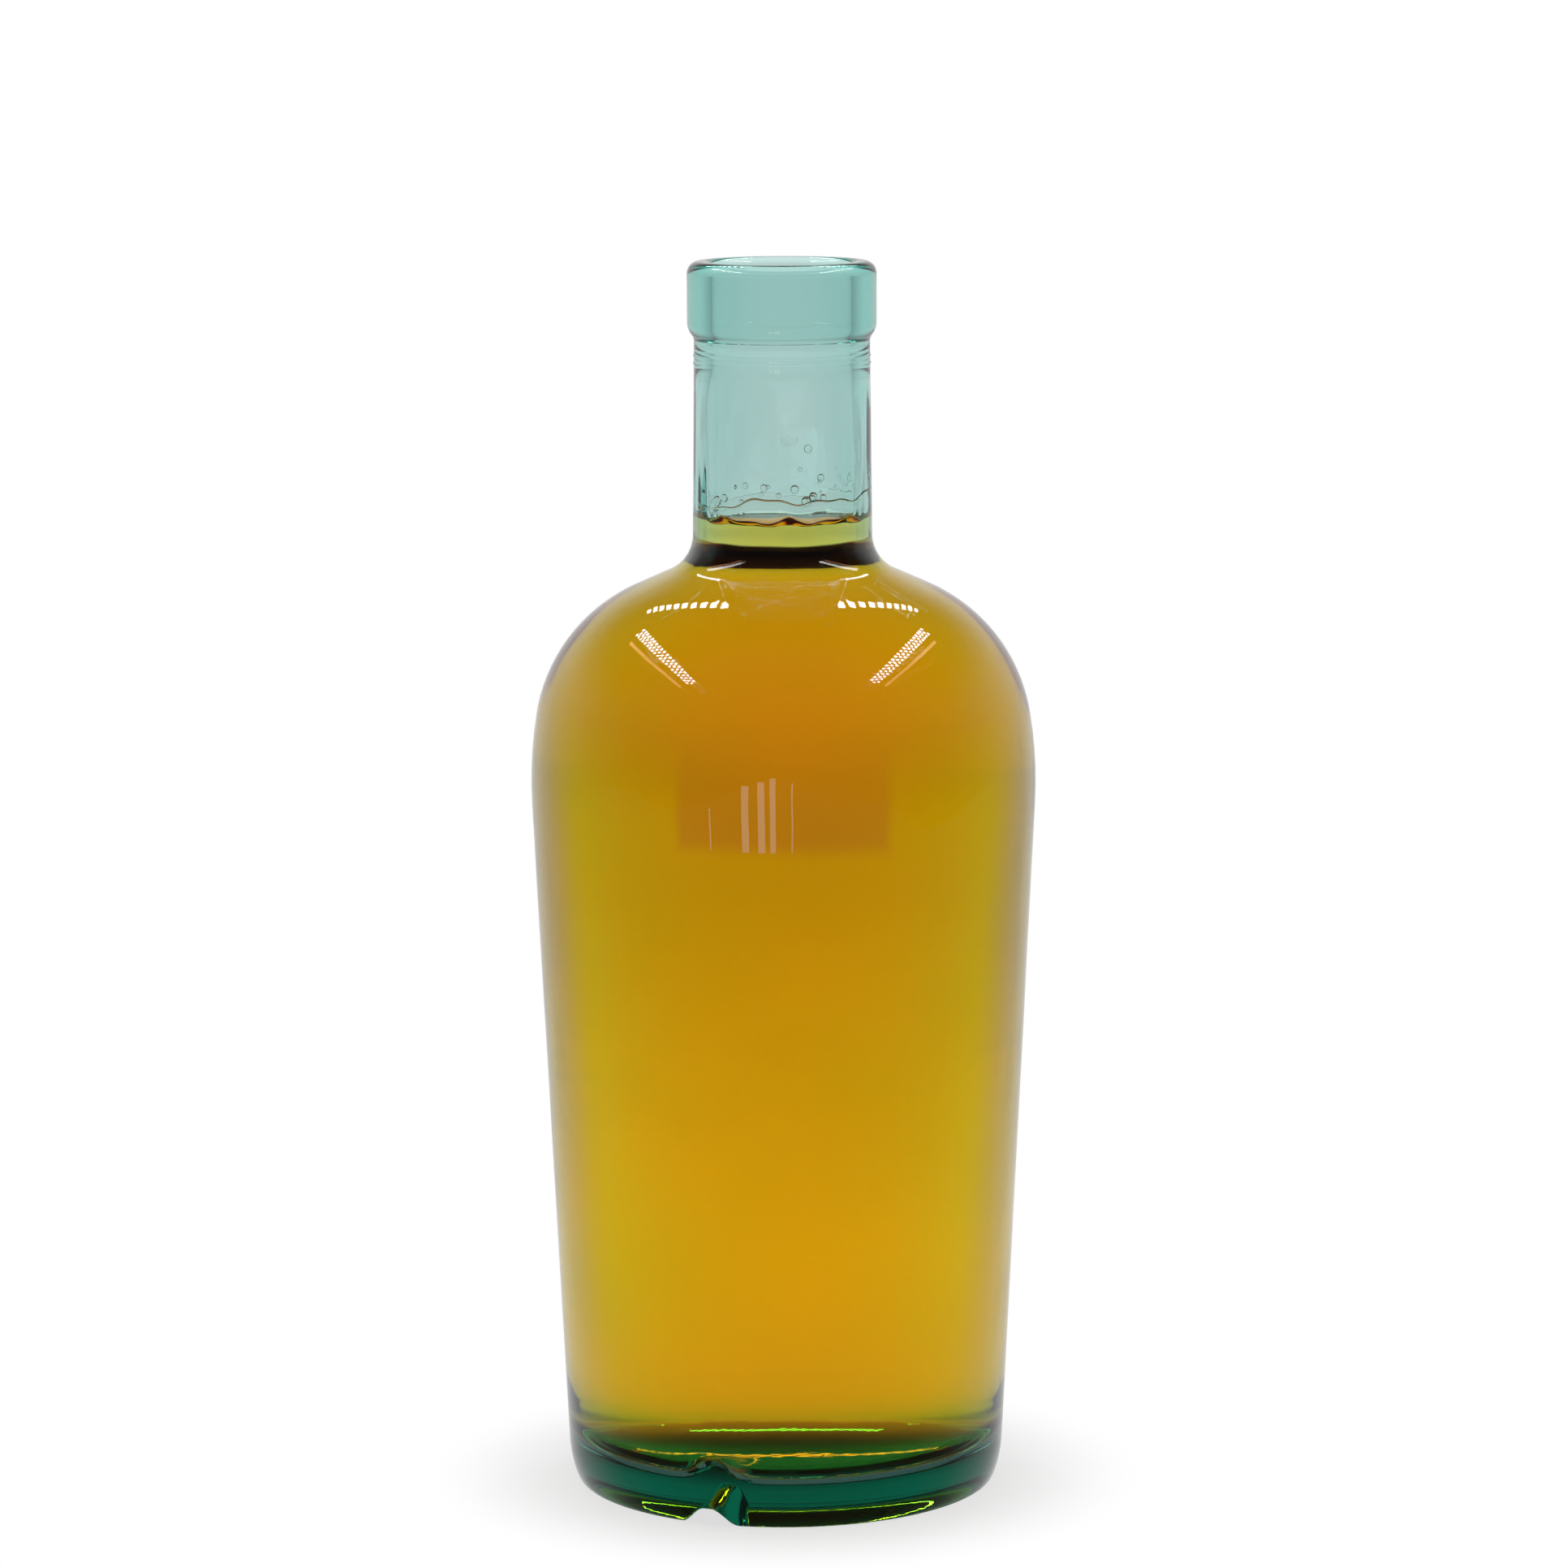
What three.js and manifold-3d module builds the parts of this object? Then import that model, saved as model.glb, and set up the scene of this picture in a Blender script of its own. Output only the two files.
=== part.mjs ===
// A moulded glass spirit bottle with the liquid that stands in it.
// Millimetres, +Z up, origin on the axis in the plane that the foot ring stands on, front towards -Y.

import * as THREE from 'three';
import { mergeVertices } from 'three/addons/utils/BufferGeometryUtils.js';
import Module from 'manifold-3d';

// Driving dimensions: the whole bottle
const HEIGHT = 215;
const BODY_WALL = 2.4;
const NECK_WALL = 3;

// Foot ring, heel and the hollow under the base
const FOOT_LAND = 5.5;
const HEEL_INSET = 1.5;
const HEEL_RISE = 6.5;
const HEEL_FULLNESS = 1.63;
const PUNT_FLANK = 7;
const PUNT_HEIGHT = 3.3;
const PUNT_CROWN = 0.2;

// Inside of the base: a domed floor, lowest in a round corner by the wall
const FLOOR_HEIGHT = 10.4;
const FLOOR_EDGE = 5.2;
const INNER_HEEL_RADIUS = 9.5;

// Index notch through the foot ring, left of the front
const NOTCH_TURN = 21;
const NOTCH_HEIGHT = 3;
const NOTCH_WIDTH_OUTSIDE = 7.4;
const NOTCH_WIDTH_INSIDE = 12;
const NOTCH_RUN_OUT = 2;

// Tapered body and shoulder: the wall would reach the foot plane at BODY_FOOT_RADIUS
const BODY_FOOT_RADIUS = 38.1;
const BODY_TOP_RADIUS = 44;
const BODY_TOP = 120.6;
const SHOULDER_EASE_RADIUS = 74.5;
const SHOULDER_EASE_LEAN = 9.5;
const SHOULDER_RADIUS = 29.4;
const SHOULDER_SLOPE = 6.9;

// Neck
const NECK_ROOT_FILLET = 7.1;
const NECK_FOOT_RADIUS = 15.6;
const NECK_TOP_RADIUS = 15.25;

// Ring at the mouth
const RING_HEIGHT = 13.8;
const RING_PROUD = 1.15;
const RING_UNDER_ROUND = 3.7;
const RING_UNDER_FILLET = 1.8;
const LIP_OUTER_ROUND = 1.6;
const LIP_INNER_ROUND = 1;
const MOUTH_WALL = 4.3;
const MOUTH_BORE_DEPTH = 16;
const MOUTH_FLARE_DEPTH = 7;

// Liquid
const HEADSPACE = 44.8;
const MENISCUS_RISE = 1.2;
const MENISCUS_RUN = 2;
const GLASS_GAP = 0.3;

// Facets
const ROUND_STEPS = 48;
const ARC_STEP = 9;
const HEEL_STEPS = 7;
const FLANK_STEPS = 6;
const NOTCH_STEPS = 28;

const radians = THREE.MathUtils.degToRad;
const point = (radius, height) => new THREE.Vector2(radius, height);

// The point at a distance from a centre, in a direction given as an angle up from the radius
const polar = (centre, distance, angle) =>
  point(centre.x + distance * Math.cos(angle), centre.y + distance * Math.sin(angle));

// Points along a circular arc, both ends included
function arc(centre, radius, from, to) {
  const steps = Math.max(2, Math.ceil(Math.abs(to - from) / radians(ARC_STEP)));
  return Array.from({ length: steps + 1 }, (_, i) => polar(centre, radius, from + ((to - from) * i) / steps));
}

// Body: a straight wall that leans outwards by `taper`, then two arcs that turn it in to the shoulder
const taper = Math.atan2(BODY_TOP_RADIUS - BODY_FOOT_RADIUS, BODY_TOP);
const easeLean = radians(SHOULDER_EASE_LEAN);
const easeCentre = polar(point(BODY_TOP_RADIUS, BODY_TOP), -SHOULDER_EASE_RADIUS, -taper);
const shoulderCentre = polar(easeCentre, SHOULDER_EASE_RADIUS - SHOULDER_RADIUS, easeLean);

// The slope is tangent to the shoulder and to the neck root fillet, which ends upright at the neck
const shoulderReach = SHOULDER_RADIUS + NECK_ROOT_FILLET;
const filletOffset = NECK_FOOT_RADIUS + NECK_ROOT_FILLET - shoulderCentre.x;
const shoulderLean =
  Math.acos(filletOffset / Math.hypot(shoulderReach, SHOULDER_SLOPE)) -
  Math.atan2(SHOULDER_SLOPE, shoulderReach);
const slopeFoot = polar(shoulderCentre, shoulderReach, shoulderLean);
const filletCentre = polar(slopeFoot, SHOULDER_SLOPE, shoulderLean + Math.PI / 2);

// Foot: the heel ends on the foot ring, and a flank rises from that ring to the hollow's shallow dome
const footRadius = BODY_FOOT_RADIUS - HEEL_INSET;
const landRadius = footRadius - FOOT_LAND;
const puntRadius = landRadius - PUNT_FLANK;
const puntSphere = (puntRadius ** 2 + PUNT_CROWN ** 2) / (2 * PUNT_CROWN);
const puntCentre = point(0, PUNT_HEIGHT + PUNT_CROWN - puntSphere);

// Inside, a round corner is tangent to the wall and to the domed floor, and is lowest at the floor's edge
const cornerHeight = FLOOR_EDGE + INNER_HEEL_RADIUS;
const cornerCentre = point(
  BODY_FOOT_RADIUS - (BODY_WALL + INNER_HEEL_RADIUS) / Math.cos(taper) + cornerHeight * Math.tan(taper),
  cornerHeight,
);
const floorSphere =
  ((cornerHeight - FLOOR_HEIGHT) ** 2 + cornerCentre.x ** 2 - INNER_HEEL_RADIUS ** 2) /
  (2 * (FLOOR_HEIGHT - FLOOR_EDGE));
const floorCentre = point(0, FLOOR_HEIGHT - floorSphere);
const cornerTurn = Math.atan2(floorCentre.y - cornerCentre.y, -cornerCentre.x);

// Mouth
const ringFoot = HEIGHT - RING_HEIGHT;
const ringRadius = NECK_TOP_RADIUS + RING_PROUD;
const boreRadius = ringRadius - MOUTH_WALL;

// From the body's foot to the neck's foot, in from the outer surface by a depth that eases over the shoulder
function bodyWall(bodyDepth, neckDepth) {
  const shoulder = arc(shoulderCentre, SHOULDER_RADIUS, easeLean, shoulderLean).map((p, i, all) => {
    const ease = THREE.MathUtils.smoothstep(i, 0, all.length - 1);
    const depth = THREE.MathUtils.lerp(bodyDepth, neckDepth, ease);
    return p.lerp(shoulderCentre, depth / SHOULDER_RADIUS);
  });
  return [
    ...arc(easeCentre, SHOULDER_EASE_RADIUS - bodyDepth, -taper, easeLean),
    ...shoulder.slice(1),
    ...arc(filletCentre, -NECK_ROOT_FILLET - neckDepth, shoulderLean, 0),
  ];
}

// From the axis out along the floor and up round the inner corner, `depth` in from the glass
function floorAndCorner(depth) {
  const floorTurn = cornerTurn + Math.PI;
  return [
    ...arc(floorCentre, floorSphere + depth, Math.PI / 2, floorTurn),
    ...arc(cornerCentre, INNER_HEEL_RADIUS - depth, cornerTurn, -taper).slice(1),
  ];
}

// Underside of the glass: the hollow, its flank, the flat foot ring and the heel that runs up into the wall
function foot() {
  const hollow = arc(puntCentre, puntSphere, Math.PI / 2, Math.acos(puntRadius / puntSphere));
  const flank = Array.from({ length: FLANK_STEPS }, (_, i) => {
    const share = (i + 1) / FLANK_STEPS;
    const fall = THREE.MathUtils.smoothstep(share, 0, 1);
    return point(puntRadius + PUNT_FLANK * share, PUNT_HEIGHT * (1 - fall));
  });
  const heel = Array.from({ length: HEEL_STEPS + 1 }, (_, i) => {
    const turn = (i / HEEL_STEPS) * (Math.PI / 2);
    const drop = Math.cos(turn) ** (2 / HEEL_FULLNESS);
    const out = Math.sin(turn) ** (2 / HEEL_FULLNESS);
    const height = HEEL_RISE * (1 - drop);
    return point(footRadius + HEEL_INSET * out + height * Math.tan(taper), height);
  });
  return [...hollow, ...flank, ...heel];
}

// Outside of the ring: up from the neck by a fillet and a round edge, then over the lip to its flat land
function ringOutside() {
  const turn = Math.acos(1 - RING_PROUD / (RING_UNDER_ROUND + RING_UNDER_FILLET));
  const filletMiddle = point(NECK_TOP_RADIUS + RING_UNDER_FILLET, ringFoot);
  const roundMiddle = polar(filletMiddle, -RING_UNDER_ROUND - RING_UNDER_FILLET, -turn);
  const lipMiddle = point(ringRadius - LIP_OUTER_ROUND, HEIGHT - LIP_OUTER_ROUND);
  return [
    ...arc(filletMiddle, -RING_UNDER_FILLET, 0, -turn),
    ...arc(roundMiddle, RING_UNDER_ROUND, -turn, 0).slice(1),
    ...arc(lipMiddle, LIP_OUTER_ROUND, 0, Math.PI / 2),
  ];
}

// Inside of the ring: round the lip's inner edge, down the bore and out to the neck's inner wall
function ringInside() {
  const lipMiddle = point(boreRadius + LIP_INNER_ROUND, HEIGHT - LIP_INNER_ROUND);
  const boreFoot = HEIGHT - MOUTH_BORE_DEPTH;
  return [
    ...arc(lipMiddle, LIP_INNER_ROUND, Math.PI / 2, Math.PI),
    point(boreRadius, boreFoot),
    point(neckRadius(boreFoot - MOUTH_FLARE_DEPTH) - NECK_WALL, boreFoot - MOUTH_FLARE_DEPTH),
  ];
}

// Outer radius of the neck at a height
function neckRadius(height) {
  const share = (height - filletCentre.y) / (ringFoot - filletCentre.y);
  return THREE.MathUtils.lerp(NECK_FOOT_RADIUS, NECK_TOP_RADIUS, share);
}

// The part of a rising profile that lies below a level, ended on the level
function below(profile, level) {
  const next = profile.findIndex((p) => p.y > level);
  const [low, high] = [profile[next - 1], profile[next]];
  const end = low.clone().lerp(high, (level - low.y) / (high.y - low.y));
  return [...profile.slice(0, next), end];
}

// Closed mesh with shared vertices and no empty triangles
function weld(geometry) {
  geometry.deleteAttribute('normal');
  geometry.deleteAttribute('uv');
  const welded = mergeVertices(geometry);
  const corners = welded.index.array;
  const kept = [];
  for (let i = 0; i < corners.length; i += 3) {
    const [a, b, c] = corners.slice(i, i + 3);
    if (a !== b && b !== c && c !== a) kept.push(a, b, c);
  }
  welded.setIndex(kept);
  return welded;
}

// Solid of revolution about +Z, from a profile that runs with the solid on its left
function revolve(profile) {
  profile[0].x = 0;
  profile.at(-1).x = 0;
  return weld(new THREE.LatheGeometry(profile, ROUND_STEPS).rotateX(Math.PI / 2));
}

// Cutter for the index notch: a half-round arch that widens from the heel in to the hollow
function notchCutter() {
  const length = HEEL_INSET + FOOT_LAND + PUNT_FLANK + 2 * NOTCH_RUN_OUT;
  const cutter = new THREE.CylinderGeometry(1, 1, length, NOTCH_STEPS);
  const place = cutter.getAttribute('position');
  for (let i = 0; i < place.count; i += 1) {
    const inwards = place.getY(i) / length + 0.5;
    const width = THREE.MathUtils.lerp(NOTCH_WIDTH_OUTSIDE, NOTCH_WIDTH_INSIDE, inwards);
    place.setXYZ(i, (place.getX(i) * width) / 2, place.getY(i), place.getZ(i) * NOTCH_HEIGHT);
  }
  cutter.translate(0, length / 2 - BODY_FOOT_RADIUS - NOTCH_RUN_OUT, 0);
  return weld(cutter.rotateZ(radians(-NOTCH_TURN)));
}

const wasm = await Module();
wasm.setup();

// A welded geometry as a solid that can be cut, and a cut solid as a geometry
const toSolid = (geometry) =>
  new wasm.Manifold(
    new wasm.Mesh({
      numProp: 3,
      vertProperties: Float32Array.from(geometry.getAttribute('position').array),
      triVerts: Uint32Array.from(geometry.index.array),
    }),
  );

function toGeometry(solid) {
  const { vertProperties, triVerts } = solid.getMesh();
  const geometry = new THREE.BufferGeometry();
  geometry.setAttribute('position', new THREE.BufferAttribute(vertProperties, 3));
  geometry.setIndex(new THREE.BufferAttribute(triVerts, 1));
  return geometry;
}

// Glass bottle: up the outside from the hollow, over the lip and down the inside to the floor
function glassBottle() {
  const inside = [...floorAndCorner(0), ...bodyWall(BODY_WALL, NECK_WALL)];
  const blank = revolve([
    ...foot(),
    ...bodyWall(0, 0),
    ...ringOutside(),
    ...ringInside(),
    ...inside.reverse(),
  ]);
  const geometry = toGeometry(toSolid(blank).subtract(toSolid(notchCutter())));
  geometry.computeVertexNormals();
  const glass = new THREE.MeshStandardMaterial({
    color: '#9cc8bd',
    roughness: 0.03,
    metalness: 0,
    transparent: true,
    opacity: 0.35,
  });
  const mesh = new THREE.Mesh(geometry, glass);
  mesh.name = 'glass_bottle';
  return mesh;
}

// Liquid: the inside of the glass up to the fill level, with a meniscus that climbs the wall
function amberSpirit() {
  const level = HEIGHT - HEADSPACE;
  const neckTop = point(neckRadius(ringFoot) - NECK_WALL - GLASS_GAP, ringFoot);
  const wall = bodyWall(BODY_WALL + GLASS_GAP, NECK_WALL + GLASS_GAP);
  const inside = [...floorAndCorner(GLASS_GAP), ...wall, neckTop];
  const wetted = below(inside, level + MENISCUS_RISE);
  const contact = wetted.at(-1);
  const surface = [1, 2, 3, 4].map((i) => {
    const turn = (i / 4) * (Math.PI / 2);
    const run = MENISCUS_RUN * Math.sin(turn) ** 2;
    return point(contact.x - run, level + MENISCUS_RISE * (1 - Math.sin(turn)));
  });
  const geometry = revolve([...wetted, ...surface, point(0, level)]);
  geometry.computeVertexNormals();
  const spirit = new THREE.MeshStandardMaterial({
    color: '#c98d06',
    roughness: 0.02,
    metalness: 0,
    transparent: true,
    opacity: 0.8,
  });
  const mesh = new THREE.Mesh(geometry, spirit);
  mesh.name = 'amber_spirit';
  return mesh;
}

const bottle = new THREE.Group();
bottle.add(glassBottle(), amberSpirit());

export default bottle;
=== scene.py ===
"""Looks of an open glass spirit bottle, filled into the neck with an amber spirit.

The glass and the spirit are turned again with fine profiles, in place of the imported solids, and stand on a
plain white table under a frame of lamps. Everything is in metres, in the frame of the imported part.
"""

from math import acos, atan2, ceil, cos, hypot, pi, radians, sin, tan

import bpy
import numpy as np
from bpy.props import FloatProperty, FloatVectorProperty, IntProperty, PointerProperty
from bpy.types import Operator, Panel, PropertyGroup
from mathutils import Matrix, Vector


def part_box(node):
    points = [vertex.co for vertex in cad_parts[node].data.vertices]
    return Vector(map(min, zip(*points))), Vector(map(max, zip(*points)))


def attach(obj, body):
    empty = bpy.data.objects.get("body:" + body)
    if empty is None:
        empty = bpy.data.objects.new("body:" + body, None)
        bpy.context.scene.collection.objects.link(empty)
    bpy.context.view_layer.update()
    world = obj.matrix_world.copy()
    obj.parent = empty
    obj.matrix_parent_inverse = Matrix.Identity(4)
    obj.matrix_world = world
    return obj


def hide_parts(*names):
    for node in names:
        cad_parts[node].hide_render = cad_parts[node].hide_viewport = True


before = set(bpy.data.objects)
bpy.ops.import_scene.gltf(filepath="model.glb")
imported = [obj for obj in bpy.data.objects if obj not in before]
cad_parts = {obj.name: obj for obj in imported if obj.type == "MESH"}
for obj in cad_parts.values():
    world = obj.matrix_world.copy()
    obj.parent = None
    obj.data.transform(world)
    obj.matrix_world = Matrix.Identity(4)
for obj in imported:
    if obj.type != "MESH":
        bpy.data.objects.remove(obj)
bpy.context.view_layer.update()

bl_info = {
    "name": "Glass spirit bottle",
    "version": (1, 0, 0),
    "blender": (4, 5, 0),
    "location": "3D View > Sidebar > Bottle",
    "description": "Turns a moulded glass bottle and the spirit in it, and sets them on a stage",
    "category": "Object",
}

MM = 0.001
BODY = "root"
GLASS_NODE = "glass_bottle"
SPIRIT_NODE = "amber_spirit"

# The photograph's frame in pixels, and the sensor that the lens is given for
PHOTO_WIDTH = 1931
SENSOR_WIDTH = 36.0

# Largest spacing of the points along a profile: in its plain runs, in the base and on top of the spirit
PLAIN_STEP = 3 * MM
BASE_STEP = 0.7 * MM
SPIRIT_TOP_STEP = 1.5 * MM

# Turn between the points of an arc: in most arcs, in the lip's small ones and in the large flat domes
ARC_STEP = radians(2.5)
LIP_STEP = radians(6)
DOME_STEP = radians(0.25)

# Columns of points about the axis: in the glass, more of them by its notch, and in the spirit
GLASS_COLUMNS = 180
NOTCH_COLUMNS = 72
SPIRIT_COLUMNS = 240

# Rings of a drop from its top to its foot, and the points in each ring
DROP_RINGS = 7
DROP_STEPS = 14

# The outside of the glass belongs to the underside, and is cut by the notch, below this height
NOTCH_LIMIT = 8 * MM

# The wet film up the wall and back down its free side, as shares of its height and its thickness
FILM = (
    (0.2, 0),
    (0.45, 0),
    (0.7, 0),
    (0.88, 0),
    (0.97, 0),
    (1, 0.2),
    (0.99, 0.6),
    (0.95, 0.9),
    (0.88, 1),
    (0.78, 0.85),
    (0.62, 0.6),
    (0.45, 0.45),
    (0.25, 0.42),
    (0.1, 0.5),
)


def length(name, millimetres, description):
    """A size in metres, given in millimetres."""
    return FloatProperty(
        name=name, description=description, default=millimetres * MM, unit="LENGTH", precision=4
    )


def angle(name, degrees, description):
    """An angle in radians, given in degrees."""
    return FloatProperty(
        name=name, description=description, default=radians(degrees), subtype="ANGLE"
    )


def number(name, value, description):
    """A value that has no unit."""
    return FloatProperty(name=name, description=description, default=value)


def to_linear(hex_colour):
    """Linear red, green and blue of an sRGB hex colour."""
    channels = [int(hex_colour[i : i + 2], 16) / 255 for i in (1, 3, 5)]
    return [c / 12.92 if c <= 0.04045 else ((c + 0.055) / 1.055) ** 2.4 for c in channels]


def colour(name, hex_colour, description):
    """A colour, given as an sRGB hex value and kept linear."""
    return FloatVectorProperty(
        name=name,
        description=description,
        default=to_linear(hex_colour),
        subtype="COLOR",
        min=0.0,
        max=1.0,
    )


class BottleShape(PropertyGroup):
    """Sizes of the glass, from the foot to the lip."""

    height: FloatProperty(
        name="Height",
        description="Foot ring to lip",
        default=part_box(GLASS_NODE)[1].z,
        unit="LENGTH",
        precision=4,
    )
    body_wall: length("Body wall", 2.4, "Thickness of the glass in the body")
    neck_wall: length("Neck wall", 3.0, "Thickness of the glass in the neck")
    foot_land: length("Foot land", 5.5, "Width of the flat ring that the bottle stands on")
    heel_inset: length("Heel inset", 1.5, "How far the foot ring stands in from the body's line")
    heel_rise: length("Heel rise", 6.5, "Height at which the heel meets the body")
    heel_fullness: number("Heel fullness", 1.63, "Roundness of the heel, 2 for an ellipse")
    inner_heel: length("Inner heel", 6.2, "Radius of the inside corner between floor and wall")
    floor_height: length("Floor height", 11.2, "Height of the inside floor at its middle")
    floor_edge: length("Floor edge", 6.8, "Height of the inside at its lowest, round the domed floor")
    punt_height: length("Punt height", 2.3, "Height of the hollow under the base, at its rim")
    punt_crown: length("Punt crown", -1.5, "Hollow's middle above its rim, negative where it sags")
    punt_flank: length("Punt flank", 7.0, "Width of the flank between the foot ring and the hollow's rim")
    notch_turn: angle("Notch turn", 21, "Index notch, turned to the left from the front")
    notch_height: length("Notch height", 3.0, "Height of the index notch under the foot ring")
    notch_width: length("Notch width", 7.4, "Width of the index notch at the foot ring")
    body_foot_radius: length("Body foot radius", 38.1, "Radius of the body's line at the foot plane")
    body_top_radius: length("Body top radius", 44.0, "Radius of the body where the taper ends")
    body_top: length("Body top", 120.6, "Height where the taper ends")
    ease_radius: length("Ease radius", 74.5, "Large arc between the body and the shoulder")
    ease_lean: angle("Ease lean", 9.5, "Lean of the wall where the large arc ends")
    shoulder_radius: length("Shoulder radius", 29.4, "Arc of the shoulder")
    shoulder_slope: length("Shoulder slope", 6.9, "Straight run between the shoulder and the neck root")
    neck_fillet: length("Neck root fillet", 7.1, "Hollow arc from the shoulder into the neck")
    neck_foot_radius: length("Neck foot radius", 15.6, "Radius of the neck at its root")
    neck_top_radius: length("Neck top radius", 15.25, "Radius of the neck under the ring")
    seam_proud: length("Seam proud", 0.12, "Height of the fine mould lines under the ring")
    ring_height: length("Ring height", 13.8, "Height of the ring at the mouth")
    ring_proud: length("Ring proud", 1.15, "How far the ring stands out from the neck")
    ring_round: length("Ring round", 3.7, "Round edge under the ring")
    ring_fillet: length("Ring fillet", 1.8, "Hollow between the neck and the ring")
    lip_round: length("Lip round", 2.1, "Outer round of the lip")
    lip_inner_round: length("Lip inner round", 1.4, "Inner round of the lip")
    mouth_wall: length("Mouth wall", 4.3, "Thickness of the glass in the ring")
    bore_depth: length("Bore depth", 16.0, "Depth of the straight bore in the mouth")
    bore_flare: length("Bore flare", 7.0, "Height over which the bore opens to the neck")


class SpiritShape(PropertyGroup):
    """Sizes of the spirit that stands in the bottle."""

    headspace: length("Headspace", 44.8, "Lip down to the level of the spirit")
    meniscus_rise: length("Meniscus rise", 1.2, "How far the spirit climbs the glass")
    meniscus_run: length("Meniscus run", 2.0, "Width of the rim that climbs")
    wetting: length("Wetting", 0.1, "How far the spirit's skin lies in the glass, so no air is between")
    film_height: length("Film height", 2.6, "How far a wet film stands up the neck, on average")
    film_thickness: length("Film thickness", 0.35, "Thickness of the film's beaded upper edge")
    drop_count: IntProperty(name="Drops", description="Drops left on the neck above the film", default=34)
    drop_size: length("Drop size", 0.9, "Radius of a large drop")


class BottleFinish(PropertyGroup):
    """Colours and densities of the glass and the spirit."""

    glass_tint: colour("Glass tint", "#4CDDD2", "Light that a thick piece of the glass lets through")
    glass_density: number("Glass density", 105.0, "How strongly the glass is tinted, per metre")
    spirit_tint: colour("Spirit tint", "#FFED76", "Light that the spirit lets through")
    spirit_density: number("Spirit density", 100.0, "How strongly the spirit is tinted, per metre")
    glass_unevenness: length("Glass unevenness", 0.01, "Height of the fine waves in the glass surface")
    spirit_ripple: length("Spirit ripple", 0.03, "Height of the ripples on the spirit")


class StageSetting(PropertyGroup):
    """Camera, table, lamps and the room in front."""

    camera_distance: length("Camera distance", 974.8, "From the bottle's axis to the camera")
    camera_height: length("Camera height", 271.95, "Camera above the table")
    camera_pitch: angle("Camera pitch", 8.649, "How far the camera looks down")
    camera_roll: angle("Camera roll", 0.206, "How far the camera leans to the right")
    lens_pixels: number("Lens in pixels", 6943.1, "Focal length in the photograph's pixels")
    table_radius: length("Table radius", 1400.0, "Radius of the white table")
    white_start: length("White start", 34.0, "Where the table starts to whiten, out from the axis")
    white_end: length("White end", 65.0, "Where the table is all white to the camera")
    white_share: number("White share", 0.7, "How far the table is whitened at the foot")
    # Painted shade under the bottle and painted dimming towards the back, in the table's glow seen through
    # the glass
    painted_shade_radius: length("Shade radius", 36.0, "Radius of the shade under the bottle")
    painted_shade_edge: length("Shade edge", 6.0, "Width of the shade's soft edge")
    painted_shade_brightness: number("Shade brightness", 0.12, "Brightness of the shade under the bottle")
    painted_dim_start: length("Dim start", 250.0, "Where the table starts to dim, seen through the glass")
    painted_dim_end: length("Dim end", 800.0, "Where the table is at its dimmest, seen through the glass")
    painted_dim_brightness: number("Dim brightness", 0.74, "Brightness of the table at its dimmest")
    lamp_height: length("Lamp height", 600.0, "Height of the frame of lamps above the table")
    lamp_strength: number("Lamp strength", 24.0, "Brightness of the diodes, with the table at 1")
    diode_pitch: length("Diode pitch", 29.0, "Spacing of the diodes along one row of a strip")
    diode_rows: length("Diode rows", 20.0, "Spacing of the three rows of a strip")
    diode_size: length("Diode size", 14.0, "Width of a diode")
    # The warm rails glow with painted diode light
    rail_strength: number("Rail strength", 5.0, "Brightness of the warm rails beside the diodes")
    back_brightness: number("Back brightness", 0.78, "Brightness of the white box behind the bottle")
    side_brightness: number("Side brightness", 0.14, "Brightness of the white box at its sides")
    top_share: number("Top share", 0.06, "Brightness of the box above, as a share of its walls")
    front_brightness: number("Front brightness", 0.06, "Brightness of the room in front")
    bar_brightness: number("Bar brightness", 2.0, "Brightness of the bars in the room in front")
    # The card glows with painted lamp light in a yellow-green tint, and only mirrored light shows it
    card_brightness: number("Card brightness", 1.5, "Brightness of the card round the bottle's front")
    card_tint: colour("Card tint", "#E8FF00", "Colour of the card round the bottle's front")
    card_radius: length("Card radius", 170.0, "Radius of the card round the bottle's front")
    card_foot: length("Card foot", -45.0, "Height at which the card fades out below")
    card_top: length("Card top", 170.0, "Height at which the card fades out above")
    card_reach: angle("Card reach", 126.0, "Turn from the front at which the card fades out")
    card_near: length("Card near", 144.0, "How far light from the card goes before it fades out")
    window_sill: length("Window sill", 86.5, "Height of the sill of the card's window")
    window_reach: angle("Window reach", 42.6, "Turn from the front to either side of the card's window")


# Profiles are lists of (radius, height) pairs


def polar(centre, distance, turn):
    """The point at a distance from a centre, turned up from the radius."""
    return (centre[0] + distance * cos(turn), centre[1] + distance * sin(turn))


def arc(centre, radius, start, end, step=ARC_STEP):
    """Points along a circular arc, both ends included."""
    count = max(2, ceil(abs(end - start) / step))
    return [polar(centre, radius, start + (end - start) * i / count) for i in range(count + 1)]


def blend(low, high, share):
    """A smooth step from low to high as share goes from 0 to 1."""
    t = min(max(share, 0.0), 1.0)
    return low + (high - low) * t * t * (3 - 2 * t)


def body_lines(shape):
    """Centres and leans of the arcs that carry the body into the shoulder and the neck."""
    taper = atan2(shape.body_top_radius - shape.body_foot_radius, shape.body_top)
    ease = polar((shape.body_top_radius, shape.body_top), -shape.ease_radius, -taper)
    shoulder = polar(ease, shape.ease_radius - shape.shoulder_radius, shape.ease_lean)
    reach = shape.shoulder_radius + shape.neck_fillet
    offset = shape.neck_foot_radius + shape.neck_fillet - shoulder[0]
    lean = acos(offset / hypot(reach, shape.shoulder_slope)) - atan2(shape.shoulder_slope, reach)
    slope_foot = polar(shoulder, reach, lean)
    fillet = polar(slope_foot, shape.shoulder_slope, lean + pi / 2)
    return taper, ease, shoulder, lean, fillet


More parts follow.
